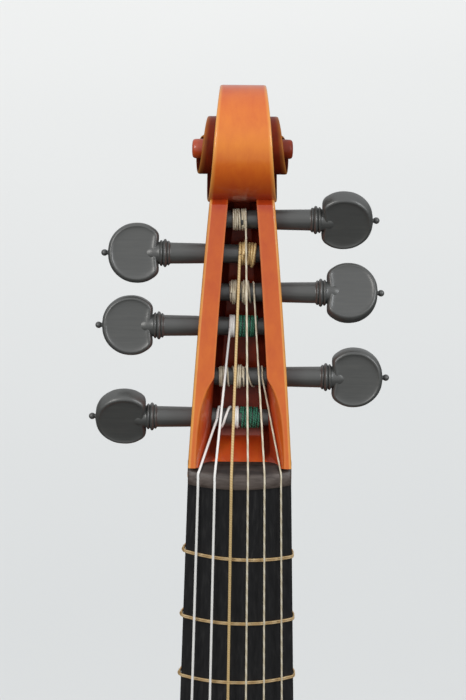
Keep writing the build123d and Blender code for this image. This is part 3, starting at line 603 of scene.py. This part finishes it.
# ---- pegs ----
pegs = {
    1: {"side": 1, "along": 43.0, "turn": 14.0}, 2: {"side": 1, "along": 84.0, "turn": -14.0},
    3: {"side": 1, "along": 119.0, "turn": 34.0}, 4: {"side": -1, "along": 102.5, "turn": 0.0},
    5: {"side": -1, "along": 67.5, "turn": 4.0}, 6: {"side": -1, "along": 23.0, "turn": 36.0},
}
pegShape = {
    "collar": 16.8, "thumbEnd": 46.6,         # distances out from the pegbox's wall
    "height": 28.9, "length": 24.6, "thickness": 9.5, "rimInset": 1.9, "pip": 1.6, "dish": 0.55,
    "radius": 4.95, "taper": 1 / 60,          # the shaft at its collar, and how fast it thins
    # distance past the collar and radius: three beads, a waist and the flare into the thumb piece
    "beads": [(-0.3, 5.1), (0.0, 5.3), (0.2, 5.75), (0.6, 6.0), (1.0, 5.85), (1.2, 5.6), (1.4, 5.95),
              (1.75, 6.6), (2.3, 6.85), (2.85, 6.6), (3.15, 6.0), (3.3, 5.65), (3.5, 5.75), (3.8, 6.2),
              (4.2, 6.3), (4.6, 6.0), (4.85, 5.5), (5.1, 5.35), (5.8, 5.2), (6.8, 5.05), (8.2, 5.0),
              (9.4, 4.8), (12, 3.8), (15, 2.0)],
}


def pegDepth(along):
    return 15.4 - 0.03 * along


def shaftRadius(out, along):
    return pegShape["radius"] - (wallOutside(along) + pegShape["collar"] - out) * pegShape["taper"]


def pegFrame(number):
    peg = pegs[number]
    tilt = math.radians(7.6 + 26 - peg["turn"])
    out = np.array([peg["side"], 0.0, 0.0])
    high = np.array([0.0, math.sin(tilt), math.cos(tilt)])
    return onHead(0, peg["along"], pegDepth(peg["along"])), out, high, np.cross(out, high)


def thumbPiece(number):
    # a round outline, nearly straight beside the shaft, shrunk towards its middle: the two faces are dished
    # and meet in a rounded rim
    middle, out, high, face = pegFrame(number)
    tip = wallOutside(pegs[number]["along"]) + pegShape["thumbEnd"]
    half, root = pegShape["height"] / 2, tip - pegShape["length"]
    # (height, distance out) round one side from the tip to the shaft
    table = np.array([(0, tip), (4.7, tip - 0.7), (8.9, tip - 2.8), (12.1, tip - 6.2),
                      (half - 0.5, tip - 10.2), (half, tip - 14.9), (half - 0.8, tip - 19.0),
                      (half - 2.6, tip - 22.2), (half - 4.0, root + 0.9), (9.0, root + 0.15), (7.2, root),
                      (5.2, root + 0.2), (2.8, root + 0.5), (0, root + 0.6)])
    key = np.linspace(0, 1, len(table))
    walk = np.linspace(0, 1, 60)
    side = np.stack([eased(walk, key, table[:, 0]), eased(walk, key, table[:, 1])], 1)
    outline = np.concatenate([side, (side * [-1, 1])[-2:0:-1]])
    centre = np.array([0, tip - 11.5])
    ahead = np.roll(outline, -1, 0) - np.roll(outline, 1, 0)
    normal = np.stack([ahead[:, 1], -ahead[:, 0]], 1) / np.linalg.norm(ahead, axis=1, keepdims=True)
    normal *= np.sign(np.sum(normal * (outline - centre)))
    thick = pegShape["thickness"] / 2
    rim = np.linspace(0, np.pi, 11)                  # the rim: half an ellipse from one face to the other
    inset = pegShape["rimInset"] * (1 - np.sin(rim))
    rimRise = thick * np.sign(np.cos(rim)) * np.abs(np.cos(rim)) ** 0.6
    rows, rise = [outline - normal * k for k in inset], list(rimRise)
    flat = outline - normal * pegShape["rimInset"]
    shares = [0.0, 0.3, 0.55, 0.75, 0.85, 0.9, 0.94, 0.97, 0.99]
    inside = [centre + (flat - centre) * k for k in shares]
    sunk = [thick - pegShape["dish"] * (1 - k ** 12) for k in shares]
    rows = inside + rows + inside[::-1]
    rise = sunk + rise + [-k for k in sunk[::-1]]
    grid, rise = np.array(rows), np.array(rise)[:, None, None]
    points = middle + grid[..., :1] * high + grid[..., 1:] * out + rise * face
    return patch(points, closed=True)


def pegTurning(number):
    middle, out, high, _ = pegFrame(number)
    along = pegs[number]["along"]
    wall = wallOutside(along)
    collar = wall + pegShape["collar"]
    places = np.linspace(-wall + 0.4, collar - 0.8, 24)
    shaft = [(at, shaftRadius(at, along) + 0.15 * (at > wall - 1)) for at in places]   # fuller outside
    profile = [(-wall + 0.4, 0.02)] + shaft + [(collar + d, r) for d, r in pegShape["beads"]]
    pipAt, pip = wall + pegShape["thumbEnd"] + 1.55, pegShape["pip"]
    ball = [(wall + pegShape["thumbEnd"] - 1.0, 1.5), (wall + pegShape["thumbEnd"] - 0.1, 1.05)]
    ball += [(pipAt - pip * math.cos(a), max(pip * math.sin(a), 0.02))
             for a in np.linspace(0.75, math.pi, 14)]
    return [turned(profile, middle, out, high), turned(ball, middle, out, high, 24)]


for number in pegs:
    makePiece(f"tuningPeg_{number}", [thumbPiece(number), *pegTurning(number)], finishes["peg_ebony"],
              f"peg_{number}", [f"peg_{number}"], sharp=48)
print("pegs made")

# ---- strings and their turns on the pegs ----
strings = {
    1: {"size": 0.88, "finish": "plain_gut", "arrives": 10.6},
    2: {"size": 0.92, "finish": "plain_gut", "arrives": 6.2},
    3: {"size": 0.98, "finish": "plain_gut", "arrives": 1.9},
    4: {"size": 1.36, "finish": "copper_wound", "arrives": -0.9},
    5: {"size": 1.18, "finish": "silver_wound", "arrives": -5.2},
    6: {"size": 1.22, "finish": "silver_wound", "arrives": -11.1},
}
# Each run is a table of turns round the shaft and places across it, then the layer that it lies in.
turns = {
    1: [([0, 0.3, 0.75, 1.1, 1.6, 2.2], [10.6, 10.2, 6.5, 3.2, 2.0, 1.5], 0), ([0, 3.5], [1.0, -2.6], 0),
        ([0, 2.5], [-2.2, 0.4], 1), ([0, 0.6, 1.1, 5.2], [-2.8, -5.0, -6.3, -10.3], 0)],
    2: [([0, 0.4, 1.0, 4.6], [6.2, 5.6, 3.8, 0.3], 0), ([0, 4.6], [-0.9, -5.7], 0),
        ([0, 2.4], [-4.8, -2.6], 1), ([0, 2.2], [1.0, 3.2], 1)],
    3: [([0, 1.9], [1.9, 0.3], 0), ([0, 0.4, 0.8, 4.2], [0.3, -0.4, -1.0, -4.2], 0)],
    4: [([0, 5.2], [-0.9, 6.6], 0), ([0, 0.5, 1.1], [0.8, 3.4, 6.6], 1)],
    5: [([0, 0.5, 2.5], [-5.2, -4.9, -3.0], 0)],
    6: [([0, 0.25, 0.75, 1.25, 1.75, 2.6, 3.7], [-11.1, -10.3, -9.2, -4.9, -2.9, -1.7, -0.6], 0)],
}
silk = {5: (-1.0, 8.2, 7.5), 6: (0.3, 9.2, 7.0)}       # from, to and turns, of a doubled green thread


def aroundShaft(number, turn, x, height):
    # turns start at the front and climb: a point is the shaft's middle plus its radius in that direction
    along = pegs[number]["along"]
    middle = onHead(0, along, pegDepth(along))
    radius = (shaftRadius(x * pegs[number]["side"], along) + height)[:, None]
    angle = (2 * np.pi * turn)[:, None]
    return middle + x[:, None] * across + radius * (np.sin(angle) * upHead - np.cos(angle) * intoHead)


def windingPatches(number):
    size = strings[number]["size"]
    found = []
    for turnTable, placeTable, layer in turns[number]:
        count = int((turnTable[-1] - turnTable[0]) * 36)
        turn = np.linspace(turnTable[0], turnTable[-1], count)
        carry = eased if len(turnTable) > 2 else np.interp
        x = carry(turn, turnTable, placeTable)
        wobble = 0.12 * np.sin(turn * 5.3 + number) * np.clip(turn, 0, 1)
        found.append(tube(aroundShaft(number, turn, x + wobble, size * (0.5 + 0.86 * layer)), size / 2, 8))
    return found


def silkPatches(number):
    # two threads twisted about one line that winds round the shaft
    start, end, count = silk[number]
    turn = np.linspace(0.1, 0.1 + count, int(count * 60))
    x = np.linspace(start, end, len(turn)) + 0.16 * np.sin(turn * 4.1)
    thread = 0.36
    found = []
    for phase in (0, np.pi):
        spin = 2 * np.pi * turn * 9 + phase
        aside, above = 0.8 * thread * np.cos(spin), thread * (1.35 + 0.8 * np.sin(spin))
        found.append(tube(aroundShaft(number, turn, x + aside, above), thread, 6))
    return found


nutRun = {"front": 1.35, "back": -0.3, "backAt": -6.6}     # heights over the nut, and where its back ridge is
apart = {"nut": 8.0, "bridge": 14.0, "tail": 11.5}         # from string to string
bridgeTop, bridgeRadius = -131.0, 70.0
tailDown = np.array([0, 23.0, -210.0]) / math.hypot(23, 210)       # down the tailpiece's face
tailOff = np.array([0, -210.0, -23.0]) / math.hypot(23, 210)       # and out from it
for number, string in strings.items():
    radius = string["size"] / 2
    rank = 3.5 - number
    peg = pegs[number]
    nutX, bridgeX, tailX = (rank * apart[end] for end in ("nut", "bridge", "tail"))
    bridgeZ = onBoard(0, stringLength, 0)[2]
    tail = np.array([tailX, -97, -753]) + 3.0 * tailDown + (0.8 - 0.006 * tailX ** 2) * tailOff
    bridgeY = bridgeTop + bridgeRadius - math.sqrt(bridgeRadius ** 2 - bridgeX ** 2) - radius + 0.25
    bridge = np.array([bridgeX, bridgeY, bridgeZ])
    fall = boardFall(nutX)
    nutFront = onBoard(nutX, 0.0, nutRun["front"] - fall + radius - 0.15)
    nutBack = onBoard(nutX, nutRun["backAt"], nutRun["back"] - fall + radius - 0.05)
    alongPeg = peg["along"]
    outAt = string["arrives"] * peg["side"]
    pegFace = pegDepth(alongPeg) - shaftRadius(outAt, alongPeg) - radius
    pegFront = onHead(string["arrives"], alongPeg - 0.2, pegFace)
    corners = np.array([tail, bridge, nutFront, nutBack, pegFront])
    runs = [corners[:1]]
    for a, b, steps in zip(corners[:-1], corners[1:], (40, 240, 8, 60)):
        runs.append(a + (b - a) * np.linspace(0, 1, steps + 1)[1:, None])
    path = np.concatenate(runs)
    for _ in range(2):                 # the bends over bridge and nut are a little eased
        path[1:-1] = 0.25 * path[:-2] + 0.5 * path[1:-1] + 0.25 * path[2:]
    finish = finishes[string["finish"]]
    makePiece(f"stringRun_{number}", [tube(path, radius, 12)], finish, stands=[f"string_{number}"], sharp=60)
    makePiece(f"stringTurns_{number}", windingPatches(number), finish, f"peg_{number}",
              [f"winding_{number}"], sharp=60)
for number in silk:
    silkPiece = makePiece(f"silkTurns_{number}", silkPatches(number), finishes["green_silk"],
                          f"peg_{number}", sharp=60)
print("strings made")

# ---- floor, light and camera ----
studio = {
    "floorTone": (0.94, 0.935, 0.915), "floorHeight": -0.975,
    "room": [(0.0, (0.05, 0.05, 0.05)), (0.43, (0.10, 0.10, 0.10)), (0.53, (0.56, 0.57, 0.57)),
             (0.72, (0.62, 0.63, 0.64)), (1.0, (0.9, 0.91, 0.93))],
    "wall": (0.60, 0.61, 0.62),       # the pale wall behind
    "lights": [  # place, aim, size, power, colour
        ((-1.6, -1.3, 1.7), (0, 0, 0.05), (0.9, 1.3), 26, (1.0, 0.98, 0.95)),
        ((1.8, -0.9, 1.4), (0, 0, 0.05), (0.7, 1.4), 20, (0.96, 0.98, 1.0)),
        ((0.0, 3.6, 2.0), (0, 3.5, -1), (5.0, 3.0), 40, (1.0, 1.0, 0.985))],
}


def plainSurface(name, tone, roughness):
    # painted shade: a little greyer towards the front, where the tone follows 0.25 (y - 0.6), softly clouded
    material, tree, shader = newFinish(name)
    place, split = tree.nodes.new("ShaderNodeTexCoord"), tree.nodes.new("ShaderNodeSeparateXYZ")
    tree.links.new(place.outputs["Object"], split.inputs[0])
    paintedFalloff = arithmetic(tree, "MULTIPLY_ADD", split.outputs[1], 0.25, -0.15)
    cloudy = arithmetic(tree, "MULTIPLY_ADD", stretchedNoise(tree, (1.3, 1.3, 1.3), 2), 0.16, -0.08)
    low = tuple(c * k for c, k in zip(tone, (0.70, 0.72, 0.735)))
    tree.links.new(ramp(tree, arithmetic(tree, "ADD", paintedFalloff, cloudy), [(0.1, low), (0.9, tone)]),
                   shader.inputs["Base Color"])
    shader.inputs["Roughness"].default_value = roughness
    return material


floorX, floorY = np.meshgrid(np.linspace(-7, 7, 15), np.linspace(-6, 9, 16), indexing="ij")
floorGrid = patch(np.stack([floorX, floorY, 0 * floorX + studio["floorHeight"]], -1) * 1000)
floorMesh = bpy.data.meshes.new("studioFloor")
floorMesh.from_pydata((floorGrid["points"] * 0.001).tolist(), [], [face[::-1] for face in floorGrid["faces"]])
floorPiece = bpy.data.objects.new("studioFloor", floorMesh)
bpy.context.scene.collection.objects.link(floorPiece)
floorMesh.materials.append(plainSurface("paleFloor", studio["floorTone"], 0.9))
floorPiece.visible_glossy = floorPiece.visible_diffuse = False      # it throws no light on the wood

world = bpy.data.worlds.new("softRoom")
world.use_nodes = True
# the room grows lighter with height, and its far wall is pale
heading = world.node_tree.nodes.new("ShaderNodeTexCoord")
parts = world.node_tree.nodes.new("ShaderNodeSeparateXYZ")
world.node_tree.links.new(heading.outputs["Generated"], parts.inputs[0])
height = arithmetic(world.node_tree, "MULTIPLY_ADD", parts.outputs[2], 0.5, 0.5)
behind = arithmetic(world.node_tree, "MULTIPLY_ADD", parts.outputs[1], 8.0, -6.4)
behind = arithmetic(world.node_tree, "MINIMUM", arithmetic(world.node_tree, "MAXIMUM", behind, 0.0), 1.0)
roomTone = ramp(world.node_tree, height, studio["room"])
roomTone = blendColour(world.node_tree, behind, roomTone, (*studio["wall"], 1))
world.node_tree.links.new(roomTone, world.node_tree.nodes["Background"].inputs["Color"])
bpy.context.scene.world = world
for k, (place, aim, size, power, colour) in enumerate(studio["lights"]):
    lamp = bpy.data.lights.new(f"softLight_{k}", "AREA")
    lamp.shape, lamp.size, lamp.size_y, lamp.energy, lamp.color = "RECTANGLE", *size, power, colour
    holder = bpy.data.objects.new(f"softLight_{k}", lamp)
    holder.location = place
    holder.rotation_euler = (Vector(aim) - Vector(place)).to_track_quat("-Z", "Y").to_euler()
    holder.visible_glossy = k < 2      # the third only lights the floor
    bpy.context.scene.collection.objects.link(holder)

view = {"distance": 1100.0, "above": 25.99, "aside": -0.28, "roll": 0.63,
        "aim": (-3.86, -74.57), "focal": 2357.2}     # the aim is across and down the board from the nut
above, aside, roll = (math.radians(view[k]) for k in ("above", "aside", "roll"))
away = (math.sin(aside) * math.cos(above) * across - math.sin(above) * downBoard
        + math.cos(aside) * math.cos(above) * offBoard)
place = onBoard(view["aim"][0], view["aim"][1], 0.0) + view["distance"] * away
right = np.cross(-away, -downBoard)
right /= np.linalg.norm(right)
up = np.cross(right, -away)
rightTurned = math.cos(roll) * right + math.sin(roll) * up
upTurned = -math.sin(roll) * right + math.cos(roll) * up
cameraData = bpy.data.cameras.new("camera")
cameraData.sensor_fit, cameraData.sensor_height = "VERTICAL", 36.0
cameraData.lens = view["focal"] * 36 / 700
cameraData.clip_end = 50
camera = bpy.data.objects.new("camera", cameraData)
camera.matrix_world = Matrix([[*row, 0.001 * p] for row, p in
                              zip(np.stack([rightTurned, upTurned, away], 1), place)] + [[0, 0, 0, 1]])
bpy.context.scene.collection.objects.link(camera)
bpy.context.scene.camera = camera
bpy.context.scene.view_settings.view_transform = "Standard"
print("studio made")
